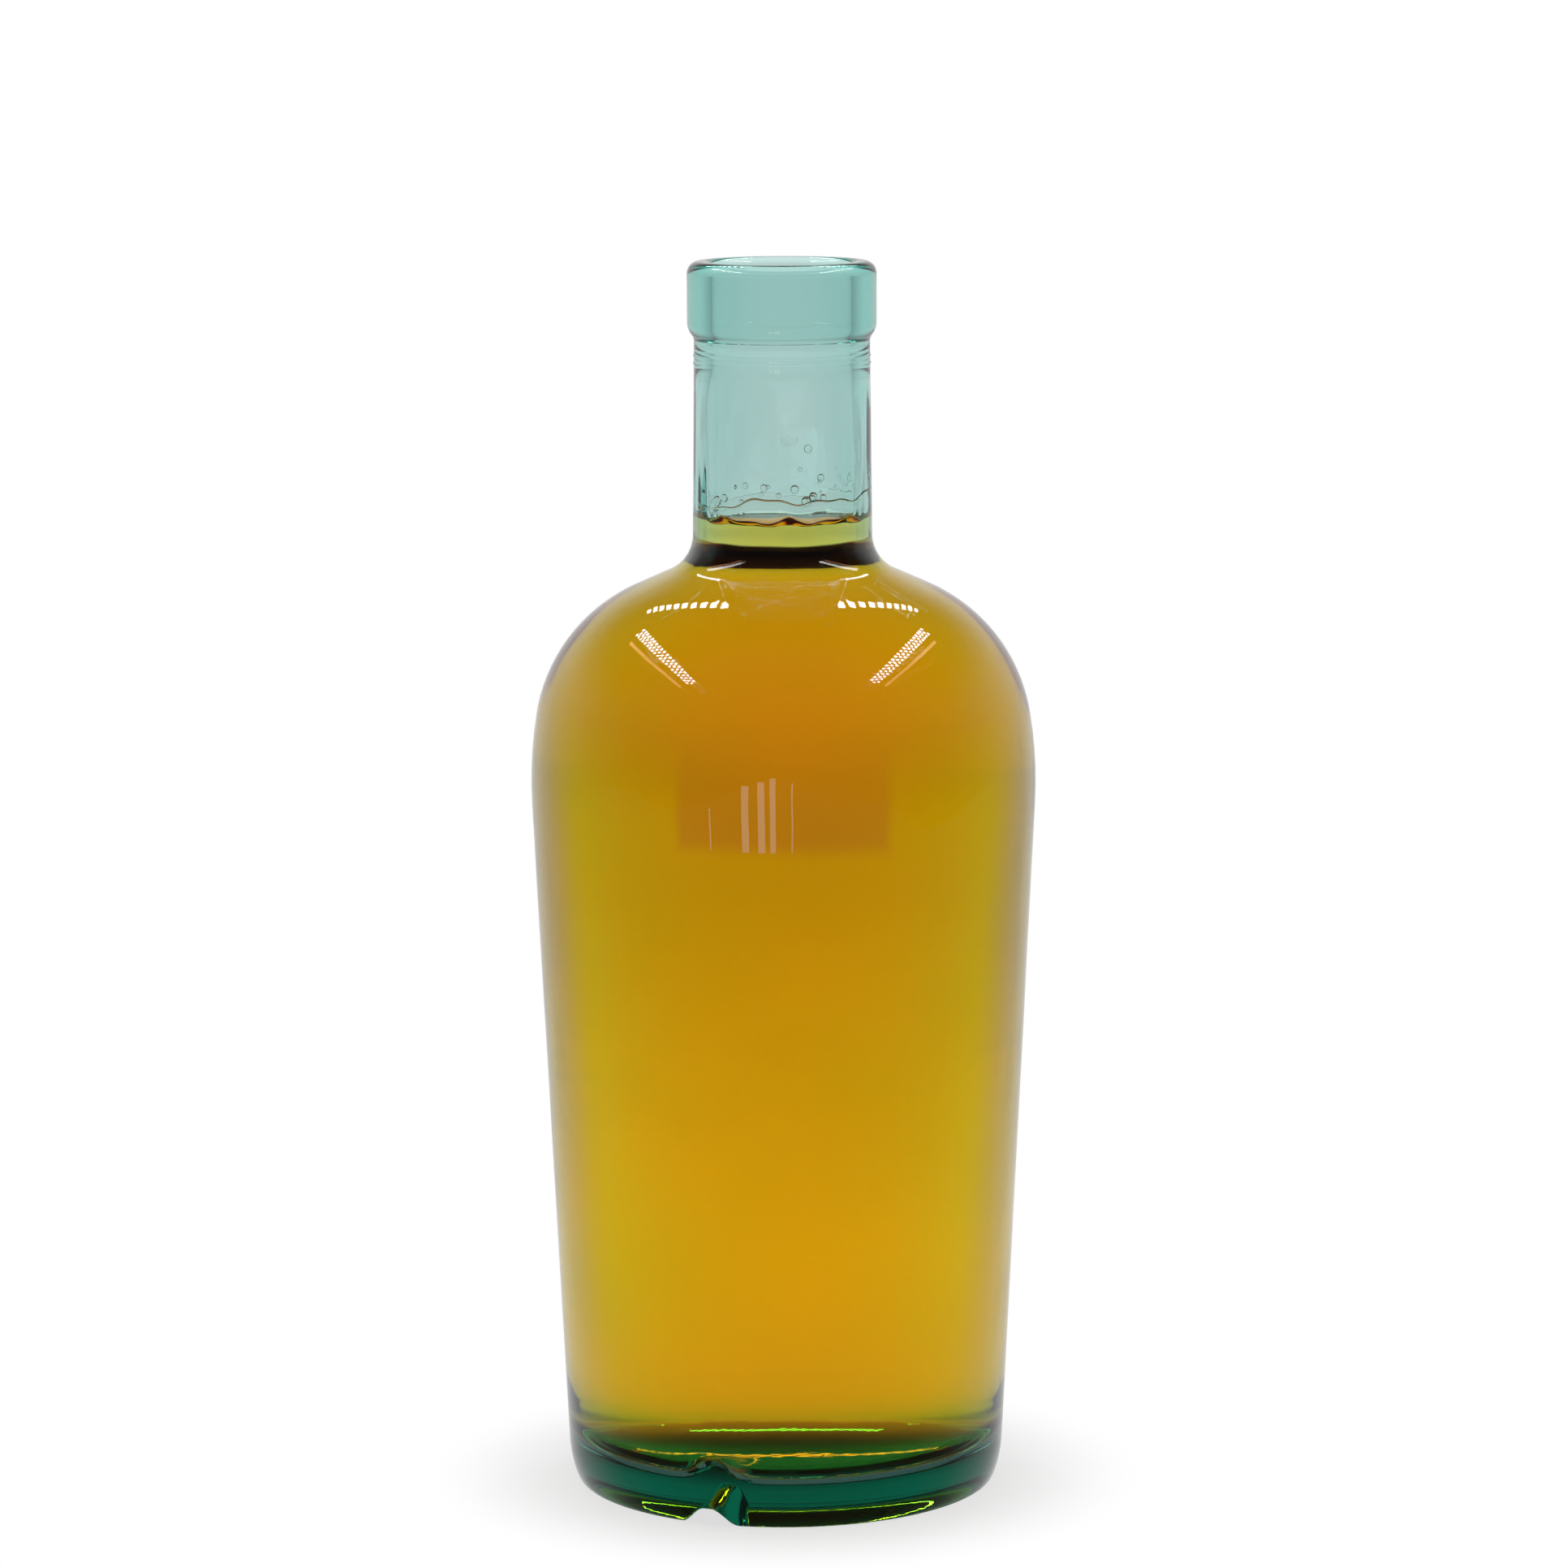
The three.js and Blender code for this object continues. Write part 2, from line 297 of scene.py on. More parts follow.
def body_wall(shape, body_depth, neck_depth):
    """From the body's foot to the neck's foot, in from the outer surface by the two depths."""
    taper, ease, shoulder, lean, fillet = body_lines(shape)
    points = arc(ease, shape.ease_radius - body_depth, -taper, shape.ease_lean)
    count = 30
    for i in range(1, count + 1):
        share = i / count
        turn = shape.ease_lean + (lean - shape.ease_lean) * share
        depth = blend(body_depth, neck_depth, share)
        points.append(polar(shoulder, shape.shoulder_radius - depth, turn))
    return points + arc(fillet, -shape.neck_fillet - neck_depth, lean, 0)


def neck_radius(shape, height):
    """Outer radius of the neck at a height."""
    *_, fillet = body_lines(shape)
    foot = fillet[1]
    top = shape.height - shape.ring_height
    share = (height - foot) / (top - foot)
    return shape.neck_foot_radius + (shape.neck_top_radius - shape.neck_foot_radius) * share


def ring_outside(shape):
    """Up from the neck by a fillet and a round edge, then over the lip to its flat land."""
    foot = shape.height - shape.ring_height
    radius = shape.neck_top_radius + shape.ring_proud
    turn = acos(1 - shape.ring_proud / (shape.ring_round + shape.ring_fillet))
    fillet = (shape.neck_top_radius + shape.ring_fillet, foot)
    edge = polar(fillet, -shape.ring_round - shape.ring_fillet, -turn)
    lip = (radius - shape.lip_round, shape.height - shape.lip_round)
    return (
        arc(fillet, -shape.ring_fillet, 0, -turn)
        + arc(edge, shape.ring_round, -turn, 0)[1:]
        + arc(lip, shape.lip_round, 0, pi / 2, LIP_STEP)
    )


def ring_inside(shape):
    """Round the lip's inner edge, down the bore and out to the neck's inner wall."""
    bore = shape.neck_top_radius + shape.ring_proud - shape.mouth_wall
    lip = (bore + shape.lip_inner_round, shape.height - shape.lip_inner_round)
    foot = shape.height - shape.bore_depth
    points = arc(lip, shape.lip_inner_round, pi / 2, pi, LIP_STEP)
    count = 12
    for i in range(count + 1):
        height = foot - shape.bore_flare * i / count
        inner = neck_radius(shape, height) - shape.neck_wall
        points.append((blend(bore, inner, i / count), height))
    return points


def mould_lines(shape):
    """Two fine lines round the neck, left by the joint of the mould under the ring."""
    points = []
    for below_lip in (17.5, 16.2):
        height = shape.height - below_lip * MM
        for step, proud in ((-0.35, 0), (-0.12, 0.8), (0, 1), (0.12, 0.8), (0.35, 0)):
            place = height + step * MM
            points.append((neck_radius(shape, place) + proud * shape.seam_proud, place))
    return points


def spirit_top(spirit, contact, level):
    """From the film on the wall in along the meniscus, and flat to the axis."""
    points = []
    count = 10
    for i in range(1, count + 1):
        turn = i / count * pi / 2
        run = spirit.film_thickness * 0.6 + spirit.meniscus_run * sin(turn) ** 2
        points.append((contact - run, level + spirit.meniscus_rise * (1 - sin(turn))))
    return even(points + [(0, level)], SPIRIT_TOP_STEP)


def rim_waves(contact, radius, turn):
    """Slight waves of the spirit's rim, which die out a few millimetres in from the wall."""
    rim = eased(radius, contact - 3.5 * MM, contact - 0.5 * MM)
    return rim * 0.3 * MM * (np.sin(8 * turn + 1) + 0.8 * np.sin(13 * turn + 2))


def drop_points(shape, spirit, turn, middle, size):
    """Points of a drop on the neck's inner wall: flat behind, domed in front and longer below."""
    wall = neck_radius(shape, middle) - shape.neck_wall
    points = []
    for ring in range(DROP_RINGS + 1):
        rise = cos(pi * ring / DROP_RINGS) * size * (1.25 if 2 * ring > DROP_RINGS else 1.0)
        reach = sin(pi * ring / DROP_RINGS) * size
        for step in range(DROP_STEPS):
            around = 2 * pi * step / DROP_STEPS
            depth = wall + spirit.wetting - max(0.0, cos(around)) * reach * 0.32
            place = turn + sin(around) * reach / wall
            points.append((depth * cos(place), depth * sin(place), middle + rise))
    return points


def film_height(spirit, turn):
    """Height of the wet film up the neck, which ends in an uneven line."""
    lean = 0.45 * np.cos(turn + 0.4)
    waves = 0.24 * np.sin(3 * turn + 1) + 0.16 * np.sin(7 * turn + 2) + 0.08 * np.sin(15 * turn)
    return spirit.film_height * np.clip(1 + lean + waves, 0.15, None)


def foot_radius(shape):
    """Outer radius of the foot ring."""
    return shape.body_foot_radius - shape.heel_inset


def rim_radius(shape):
    """Radius at which the flank ends and the hollow's dome begins."""
    return foot_radius(shape) - shape.foot_land - shape.punt_flank


def dome(rim, crown):
    """Radius of the sphere that rises by a crown over a rim."""
    return (rim**2 + crown**2) / (2 * crown)


def underside(shape):
    """The hollow under the base, its flank, the flat foot ring and the heel that runs up into the wall."""
    taper, *_ = body_lines(shape)
    foot = foot_radius(shape)
    rim = rim_radius(shape)
    sphere = dome(rim, shape.punt_crown)
    centre = shape.punt_height + shape.punt_crown - sphere
    points = arc((0, centre), sphere, pi / 2, acos(rim / sphere), DOME_STEP)
    count = 16
    for i in range(1, count + 1):
        share = i / count
        points.append((rim + shape.punt_flank * share, blend(shape.punt_height, 0, share)))
    count = 24
    for i in range(count + 1):
        turn = i / count * pi / 2
        drop = cos(turn) ** (2 / shape.heel_fullness) if i < count else 0.0
        out = sin(turn) ** (2 / shape.heel_fullness)
        height = shape.heel_rise * (1 - drop)
        points.append((foot + shape.heel_inset * out + height * tan(taper), height))
    return points


def floor_and_corner(shape, depth):
    """From the axis out along the domed floor and up round the inner corner, in from the glass by depth."""
    taper, *_ = body_lines(shape)
    height = shape.floor_edge + shape.inner_heel
    wall = shape.body_foot_radius + height * tan(taper)
    radius = wall - (shape.body_wall + shape.inner_heel) / cos(taper)
    rise = shape.floor_height - shape.floor_edge
    floor = ((height - shape.floor_height) ** 2 + radius**2 - shape.inner_heel**2) / (2 * rise)
    centre = shape.floor_height - floor
    turn = atan2(centre - height, -radius)
    return (
        arc((0, centre), floor + depth, pi / 2, turn + pi, DOME_STEP)
        + arc((radius, height), shape.inner_heel - depth, turn, -taper)[1:]
    )


def even(profile, spacing):
    """The profile with points added so that no two are further apart than the spacing."""
    points = [profile[0]]
    for low, high in zip(profile, profile[1:]):
        count = max(1, ceil(hypot(high[0] - low[0], high[1] - low[1]) / spacing))
        for i in range(1, count + 1):
            share = i / count
            points.append((low[0] + (high[0] - low[0]) * share, low[1] + (high[1] - low[1]) * share))
    return points


def below(profile, level):
    """The part of a rising profile that lies below a level, ended on the level."""
    top = next(i for i, p in enumerate(profile) if p[1] > level)
    low, high = profile[top - 1], profile[top]
    share = (level - low[1]) / (high[1] - low[1])
    return profile[:top] + [(low[0] + (high[0] - low[0]) * share, level)]


def notched_turns(shape):
    """Turns of the glass's columns about the axis: even ones, and closer ones by the index notch."""
    notch = -pi / 2 - shape.notch_turn
    reach = shape.notch_width * 1.6 / foot_radius(shape)
    near = [notch - reach + 2 * reach * i / NOTCH_COLUMNS for i in range(NOTCH_COLUMNS)]
    rest = 2 * pi - 2 * reach
    return near + [notch + reach + rest * i / GLASS_COLUMNS for i in range(GLASS_COLUMNS)]


def lattice(profile, turns):
    """Radius, height and turn of each point of a profile turned about the axis, without its two ends."""
    inner = np.array(profile[1:-1])
    radius, turn = np.meshgrid(inner[:, 0], np.array(turns), indexing="ij")
    height = np.repeat(inner[:, 1][:, None], len(turns), axis=1)
    return radius, height, turn


def skin(name, radius, height, turn, low_end, high_end):
    """A closed smooth mesh over a lattice of rows about the axis, ended on the axis at two heights."""
    ring = np.stack([radius * np.cos(turn), radius * np.sin(turn), height], axis=2).reshape(-1, 3)
    points = np.concatenate([ring, [[0, 0, low_end], [0, 0, high_end]]])
    rows, columns = radius.shape
    faces = []
    for i in range(columns):
        j = (i + 1) % columns
        faces.append((rows * columns, j, i))
        for row in range(rows - 1):
            low = row * columns
            high = low + columns
            faces.append((low + i, low + j, high + j, high + i))
        last = (rows - 1) * columns
        faces.append((rows * columns + 1, last + i, last + j))
    return smooth_piece(name, points, faces)


def smooth_piece(name, points, faces):
    """A smooth mesh object, linked to the scene."""
    mesh = bpy.data.meshes.new(name)
    mesh.from_pydata(np.asarray(points).tolist(), [], faces)
    mesh.validate()
    mesh.polygons.foreach_set("use_smooth", [True] * len(mesh.polygons))
    mesh.update()
    piece = bpy.data.objects.new(name, mesh)
    bpy.context.scene.collection.objects.link(piece)
    return piece


def mark(piece, name, values):
    """Keeps a value for each point of a piece, for its material to read."""
    attribute = piece.data.attributes.new(name, "FLOAT", "POINT")
    attribute.data.foreach_set("value", np.asarray(values, dtype=np.float32))


# Unevenness of the glass: height, lobes about the axis, rise over which a wave repeats, and phase
OUTER_WAVES = ((0.012, 3, 61, 0.4), (0.008, 5, -38, 1.9), (0.006, 2, 23, 4.1))
INNER_WAVES = (
    (0.15, 3, 83, 2.2),
    (0.11, 4, -49, 0.7),
    (0.07, 7, 31, 3.6),
    (0.04, 11, -20, 5.1),
    (0.03, 17, 400, 1.0),
    (0.02, 29, -300, 2.0),
)

# Heights between which the waves come in above the foot, and go out below the mouth ring
WAVES_IN = (14 * MM, 26 * MM)
WAVES_OUT = (196 * MM, 188 * MM)


def ramp(values, start, end):
    """How far the values of an array have come from a start to an end, as shares."""
    return np.clip((values - start) / (end - start), 0, 1)


def eased(values, start, end):
    """The same shares with a soft start and a soft end."""
    share = ramp(values, start, end)
    return share * share * (3 - 2 * share)


def ripple(waves, height, turn):
    """The sum of some waves, faded out towards the foot and the mouth ring."""
    total = np.zeros_like(height)
    for size, lobes, rise, phase in waves:
        total += size * MM * np.sin(lobes * turn + 2 * pi * height / (rise * MM) + phase)
    return total * ramp(height, *WAVES_IN) * ramp(height, *WAVES_OUT)


def notch_aside(shape, turn):
    """Distance from the middle of the index notch, along the foot ring."""
    across = (turn + pi / 2 + shape.notch_turn + pi) % (2 * pi) - pi
    return np.abs(across) * foot_radius(shape)


def notch_arch(shape, radius, turn):
    """Height of the notch: a soft arch that widens from the heel in to the hollow, and runs out in it."""
    inward = ramp(radius, foot_radius(shape), rim_radius(shape))
    half = shape.notch_width * (0.72 + 0.4 * inward)
    crest = shape.notch_height * (1 + 0.9 * inward) * eased(radius, 16 * MM, 24 * MM)
    arch = 1.12 * (1 - notch_aside(shape, turn) / half)
    return crest * eased(arch, 0, 1)


def notch_swell(shape, radius, height, turn):
    """How far the inside rises over the notch, where the mould pressed the glass up."""
    bell = np.exp(-((notch_aside(shape, turn) / (0.57 * shape.notch_width)) ** 2))
    outwards = eased(radius, 20 * MM, 27 * MM)
    upwards = eased(height, 14 * MM, 7 * MM)
    return 0.8 * shape.notch_height * bell * outwards * upwards


# Materials


def add_node(tree, kind, links=None, sockets=None, **settings):
    """A node with its settings, its socket values and the links into it."""
    node = tree.nodes.new(kind)
    for key, value in settings.items():
        setattr(node, key, value)
    for key, value in (sockets or {}).items():
        node.inputs[key].default_value = value
    for key, source in (links or {}).items():
        tree.links.new(source, node.inputs[key])
    return node


def new_material(name):
    """An empty node material and its tree."""
    material = bpy.data.materials.new(name)
    material.use_nodes = True
    material.node_tree.nodes.clear()
    return material, material.node_tree


def clear_material(name, ior, waves, wave_height, tint, density):
    """A clear material with an uneven surface, which tints light by the depth that it goes through.

    Where spirit and glass touch, the surface all but stops reflecting.
    """
    material, tree = new_material(name)
    place = add_node(tree, "ShaderNodeTexCoord")
    uneven = add_node(tree, "ShaderNodeTexNoise", {"Vector": place.outputs["Object"]}, waves)
    bump = add_node(
        tree,
        "ShaderNodeBump",
        {"Height": uneven.outputs["Fac"]},
        {"Strength": 1.0, "Distance": wave_height},
    )
    wetted = add_node(tree, "ShaderNodeAttribute", attribute_name="wetted")
    shine = add_node(
        tree,
        "ShaderNodeMapRange",
        {"Value": wetted.outputs["Fac"]},
        {"To Min": 1.0, "To Max": 0.045},
    )
    surface = add_node(
        tree,
        "ShaderNodeBsdfPrincipled",
        {"Specular Tint": shine.outputs["Result"], "Normal": bump.outputs["Normal"]},
        {"Base Color": (1, 1, 1, 1), "Roughness": 0.0, "IOR": ior, "Transmission Weight": 1.0},
    )
    volume = add_node(
        tree,
        "ShaderNodeVolumeAbsorption",
        sockets={"Color": (*tint, 1), "Density": density},
    )
    add_node(
        tree,
        "ShaderNodeOutputMaterial",
        {"Surface": surface.outputs["BSDF"], "Volume": volume.outputs["Volume"]},
    )
    return material


def soda_lime_glass(finish):
    """Mould-blown soda-lime glass: clear in a thin wall, blue-green where the eye looks along it.

    Its surface is a little uneven, as the mould and the blowing left it.
    """
    waves = {"Scale": 1 / (7 * MM), "Detail": 1.0, "Roughness": 0.4}
    return clear_material(
        "Soda-lime glass, mould-blown",
        1.52,
        waves,
        finish.glass_unevenness,
        finish.glass_tint,
        finish.glass_density,
    )


def aged_spirit(finish):
    """Spirit aged in wood: clear, yellow in a thin layer and amber through the whole bottle.

    Where it meets the air its skin is faintly rippled.
    """
    waves = {"Scale": 1 / (5 * MM), "Detail": 1.0, "Roughness": 0.3}
    return clear_material(
        "Aged spirit",
        1.355,
        waves,
        finish.spirit_ripple,
        finish.spirit_tint,
        finish.spirit_density,
    )


# Pieces


def dress(piece, material, node):
    """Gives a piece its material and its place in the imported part."""
    piece.data.materials.append(material)
    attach(piece, BODY)
    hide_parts(node)


class BOTTLE_OT_glass(Operator):
    """Turn the glass bottle"""

    bl_idname = "bottle.turn_glass"
    bl_label = "Turn the glass"

    def execute(self, context):
        shape = context.scene.bottle_shape
        spirit = context.scene.spirit_shape
        outside = even(underside(shape), BASE_STEP) + body_wall(shape, 0, 0)
        outside = even(outside + mould_lines(shape) + ring_outside(shape), PLAIN_STEP)
        inside = floor_and_corner(shape, 0) + body_wall(shape, shape.body_wall, shape.neck_wall)
        profile = outside + even(ring_inside(shape) + inside[::-1], PLAIN_STEP)
        radius, height, turn = lattice(profile, notched_turns(shape))
        inner = np.arange(1, len(profile) - 1)[:, None] >= len(outside)
        arch = np.maximum(height, notch_arch(shape, radius, turn))
        lifted = np.where(inner, height + notch_swell(shape, radius, height, turn), arch)
        height = np.where(inner | (height < NOTCH_LIMIT), lifted, height)
        inner_waves = ripple(INNER_WAVES, height, turn)
        outer_waves = ripple(OUTER_WAVES, height, turn)
        radius = radius + np.where(inner, inner_waves, outer_waves)
        level = shape.height - spirit.headspace + spirit.meniscus_rise
        wetted = inner & (height < level)
        piece = skin("moulded_glass_bottle", radius, height, turn, profile[0][1], profile[-1][1])
        mark(piece, "wetted", np.append(wetted.ravel(), [False, True]))
        dress(piece, soda_lime_glass(context.scene.bottle_finish), GLASS_NODE)
        return {"FINISHED"}


class BOTTLE_OT_spirit(Operator):
    """Fill the bottle with its spirit"""

    bl_idname = "bottle.fill_spirit"
    bl_label = "Fill the spirit"

    def execute(self, context):
        shape = context.scene.bottle_shape
        spirit = context.scene.spirit_shape
        level = shape.height - spirit.headspace
        climb = level + spirit.meniscus_rise
        body = shape.body_wall - spirit.wetting
        neck = shape.neck_wall - spirit.wetting
        ring_foot = shape.height - shape.ring_height
        inside = floor_and_corner(shape, -spirit.wetting) + body_wall(shape, body, neck)
        inside.append((neck_radius(shape, ring_foot) - neck, ring_foot))
        wetted = below(even(inside, PLAIN_STEP), climb)
        contact = wetted[-1][0]
        film = [(contact - spirit.film_thickness * thick, climb + share * MM) for share, thick in FILM]
        profile = wetted + film + spirit_top(spirit, contact, level)
        turns = [2 * pi * i / SPIRIT_COLUMNS for i in range(SPIRIT_COLUMNS)]
        radius, height, turn = lattice(profile, turns)
        rows = np.arange(1, len(profile) - 1)[:, None]
        film_foot = len(wetted)
        film_end = film_foot + len(film)
        inner = rows < film_foot + sum(thick == 0 for share, thick in FILM)
        on_film = (rows >= film_foot) & (rows < film_end)
        share = (height - climb) / MM
        height = np.where(on_film, climb + share * film_height(spirit, turn), height)
        height = np.where(inner, height + notch_swell(shape, radius, height, turn), height)
        height = np.where(rows >= film_end, height + rim_waves(contact, radius, turn), height)
        radius = radius + ripple(INNER_WAVES, height, turn)
        piece = skin("spirit_fill", radius, height, turn, profile[0][1], profile[-1][1])
        mark(piece, "wetted", np.append((inner & (height < climb)).ravel(), [True, False]))
        dress(piece, aged_spirit(context.scene.bottle_finish), SPIRIT_NODE)
        return {"FINISHED"}


class BOTTLE_OT_drops(Operator):
    """Leave drops of spirit on the neck above the film"""

    bl_idname = "bottle.leave_drops"
    bl_label = "Leave drops"

    def execute(self, context):
        shape = context.scene.bottle_shape
        spirit = context.scene.spirit_shape
        chance = np.random.RandomState(7)
        foot = shape.height - spirit.headspace + spirit.meniscus_rise
        points = []
        faces = []
        for i in range(spirit.drop_count):
            # Two drops in three hang towards the front, a little to the right
            turn = -pi / 2 + chance.normal(0.45, 0.55) if i % 3 else chance.uniform(0, 2 * pi)
            size = spirit.drop_size * (0.3 + 0.7 * chance.uniform() ** 2)
            film = film_height(spirit, np.array(turn))
            middle = foot + film + 0.3 * MM + chance.exponential(3.2 * MM)
            start = len(points)
            points += drop_points(shape, spirit, turn, middle, size)
            for ring in range(DROP_RINGS):
                low = start + ring * DROP_STEPS
                high = low + DROP_STEPS
                for step in range(DROP_STEPS):
                    after = (step + 1) % DROP_STEPS
                    faces.append((low + step, low + after, high + after, high + step))
        piece = smooth_piece("spirit_drops", points, faces)
        mark(piece, "wetted", np.zeros(len(points)))
        dress(piece, aged_spirit(context.scene.bottle_finish), SPIRIT_NODE)
        return {"FINISHED"}


# Stage

# Strips of diodes: the ends of each, across and towards the back, and the light that doesn't show it
LAMP_STRIPS = (
    ("lamp_left", (-0.384, -0.274), (-0.384, 0.292), ("camera",)),
    ("lamp_right", (0.384, -0.274), (0.384, 0.292), ("camera",)),
    ("lamp_back_left", (-0.3, 0.5), (-0.09, 0.28), ("camera", "transmission")),
    ("lamp_back_right", (0.3, 0.5), (0.09, 0.28), ("camera", "transmission")),
    ("lamp_far", (-0.3, 0.55), (0.3, 0.55), ("camera", "glossy")),
)

# The warm rails outside the side strips, which glow with painted diode light: inner edge, outer edge and
# half the length
RAIL_INNER = 0.452
RAIL_OUTER = 0.472
RAIL_HALF = 0.27

# Bright bars in the room in front: start and end of each, in degrees from the front, and its top in mm
ROOM_BARS = (
    (-29.2, -28.6, 112),
    (-16.4, -13.6, 130),
    (-10.0, -7.2, 133),
    (-5.2, -2.7, 136),
    (3.1, 3.7, 132),
)
BARS_INSIDE_CARD = 1.7 * MM

# The card is a strip of flat panels that goes on a little beyond its reach
CARD_PANELS = 65
CARD_MARGIN = radians(4)

# Over how much each edge of the card is soft: its window's sides and sill, then its ends, top and foot
WINDOW_SIDE_SOFT = 0.05
WINDOW_SILL_SOFT = 4 * MM
CARD_END_SOFT = 0.7
CARD_TOP_SOFT = 80 * MM
CARD_FOOT_SOFT = 50 * MM

# Over how much of its way the card's light fades out
CARD_NEAR_SOFT = 16 * MM

# What only mirrored light shows is hidden from all other light
MIRRORED_ONLY = ("camera", "diffuse", "transmission", "shadow")

# Light crosses many surfaces of glass and spirit before it has left the bottle
LIGHT_BOUNCES = 32


class BOTTLE_OT_stage(Operator):
    """Set up the table, the lamps, the room in front and the camera"""

    bl_idname = "bottle.set_stage"
    bl_label = "Set the stage"

    def execute(self, context):
        scene = context.scene
        setting = scene.stage_setting
        scene.view_settings.view_transform = "Standard"
        scene.cycles.max_bounces = LIGHT_BOUNCES
        scene.cycles.transmission_bounces = LIGHT_BOUNCES
        make_table(setting)
        make_lamps(setting)
        make_card(setting)
        make_bars(setting)
        make_world(scene, setting)
        make_camera(scene, setting)
        return {"FINISHED"}


def stage_piece(name, points, faces, material, unseen_by):
    """A mesh on the stage, and the kinds of light that don't show it."""
    mesh = bpy.data.meshes.new(name)
    mesh.from_pydata(points, [], faces)
    mesh.materials.append(material)
    piece = bpy.data.objects.new(name, mesh)
    bpy.context.scene.collection.objects.link(piece)
    for light in unseen_by:
        setattr(piece, f"visible_{light}", False)


def four_by_four(points):
    """Faces that take four points each, in their order."""
    return [tuple(range(i, i + 4)) for i in range(0, len(points), 4)]


def glowing(name, hex_colour, strength):
    """A material that only gives light."""
    material, tree = new_material(name)
    glow = add_node(
        tree,
        "ShaderNodeEmission",
        sockets={"Color": (*to_linear(hex_colour), 1), "Strength": strength},
    )
    add_node(tree, "ShaderNodeOutputMaterial", {"Surface": glow.outputs[0]})
    return material


def white_laminate(setting):
    """Matt white laminate: lit by the lamps near the foot, and all white to the camera beyond.

    Through the glass it glows as a bright sheet with painted shade: it dims towards the back, and a painted
    shade lies under the bottle.
    """
    material, tree = new_material("Matt white laminate")
    path = add_node(tree, "ShaderNodeLightPath")
    place = add_node(tree, "ShaderNodeNewGeometry")
    away = add_node(tree, "ShaderNodeVectorMath", {0: place.outputs["Position"]}, operation="LENGTH")
    # Painted shade: the glow that the glass sees is darker under the bottle and dims towards the back
    painted_shade_end = setting.painted_shade_radius + setting.painted_shade_edge
    shade = add_node(
        tree,
        "ShaderNodeMapRange",
        {"Value": away.outputs["Value"]},
        {"From Min": setting.painted_shade_radius, "From Max": painted_shade_end, "To Min": setting.painted_shade_brightness},
    )
    painted_dimming = add_node(
        tree,
        "ShaderNodeMapRange",
        {"Value": away.outputs["Value"]},
        {
            "From Min": setting.painted_dim_start,
            "From Max": setting.painted_dim_end,
            "To Min": 1.0,
            "To Max": setting.painted_dim_brightness,
        },
    )
    sheet = add_node(
        tree,
        "ShaderNodeMath",
        {0: shade.outputs["Result"], 1: painted_dimming.outputs["Result"]},
        operation="MULTIPLY",
    )
    beyond = add_node(
        tree,
        "ShaderNodeMapRange",
        {"Value": away.outputs["Value"]},
        {"From Min": setting.white_start, "From Max": setting.white_end, "To Min": setting.white_share},
        interpolation_type="SMOOTHSTEP",
    )
    whitened = add_node(
        tree,
        "ShaderNodeMath",
        {0: beyond.outputs["Result"], 1: path.outputs["Is Camera Ray"]},
        operation="MULTIPLY",
    )
    matt = add_node(tree, "ShaderNodeBsdfDiffuse", sockets={"Color": (0.9, 0.9, 0.9, 1)})
    white = add_node(tree, "ShaderNodeEmission", sockets={"Color": (1, 1, 1, 1), "Strength": 1.0})
    seen = add_node(
        tree, "ShaderNodeMixShader", {0: whitened.outputs[0], 1: matt.outputs[0], 2: white.outputs[0]}
    )
    glow = add_node(tree, "ShaderNodeEmission", {"Strength": sheet.outputs[0]}, {"Color": (1, 1, 1, 1)})
    top = add_node(
        tree,
        "ShaderNodeMixShader",
        {0: path.outputs["Is Transmission Ray"], 1: seen.outputs[0], 2: glow.outputs[0]},
    )
    add_node(tree, "ShaderNodeOutputMaterial", {"Surface": top.outputs[0]})
    return material


def make_table(setting):
    """A round table about the bottle's axis."""
    rings = 8
    steps = 96
    points = [(0, 0, 0)]
    faces = []
    for ring in range(1, rings + 1):
        radius = setting.table_radius * ring / rings
        for step in range(steps):
            turn = 2 * pi * step / steps
            points.append((radius * cos(turn), radius * sin(turn), 0))
    for step in range(steps):
        after = (step + 1) % steps
        faces.append((0, 1 + step, 1 + after))
        for ring in range(rings - 1):
            low = 1 + ring * steps
            high = low + steps
            faces.append((low + step, high + step, high + after, low + after))
    stage_piece("table", points, faces, white_laminate(setting), ("glossy",))


def diode_corners(setting, start, end):
    """Corners of the square diodes of a strip, in three staggered rows from its start to its end."""
    run = hypot(end[0] - start[0], end[1] - start[1])
    along = ((end[0] - start[0]) / run, (end[1] - start[1]) / run)
    count = round(run / setting.diode_pitch)
    half = setting.diode_size / 2
    points = []
    for row in (-1, 0, 1):
        aside = row * setting.diode_rows
        for i in range(count):
            far = (i + (0.75 if row else 0.25)) / count * run
            x = start[0] + far * along[0] - aside * along[1]
            y = start[1] + far * along[1] + aside * along[0]
            for right, back in ((-half, -half), (-half, half), (half, half), (half, -half)):
                points.append((x + right, y + back, setting.lamp_height))
    return points


def make_lamps(setting):
    """Strips of light diodes above the bottle, at both sides and behind, and a warm rail at each side."""
    diodes = glowing("Light diodes", "#FFFFFF", setting.lamp_strength)
    # Painted light: the rails glow by themselves, in place of the diodes' light on their lacquer
    rails = glowing("Warm rails, glowing with painted diode light", "#FFB98A", setting.rail_strength)
    for name, start, end, unseen_by in LAMP_STRIPS:
        points = diode_corners(setting, start, end)
        stage_piece(name, points, four_by_four(points), diodes, unseen_by)
    for name, side in (("rail_left", -1), ("rail_right", 1)):
        inner = side * RAIL_INNER
        outer = side * RAIL_OUTER
        corners = ((inner, -RAIL_HALF), (inner, RAIL_HALF), (outer, RAIL_HALF), (outer, -RAIL_HALF))
        points = [(x, y, setting.lamp_height) for x, y in corners]
        stage_piece(name, points, four_by_four(points), rails, ("camera",))


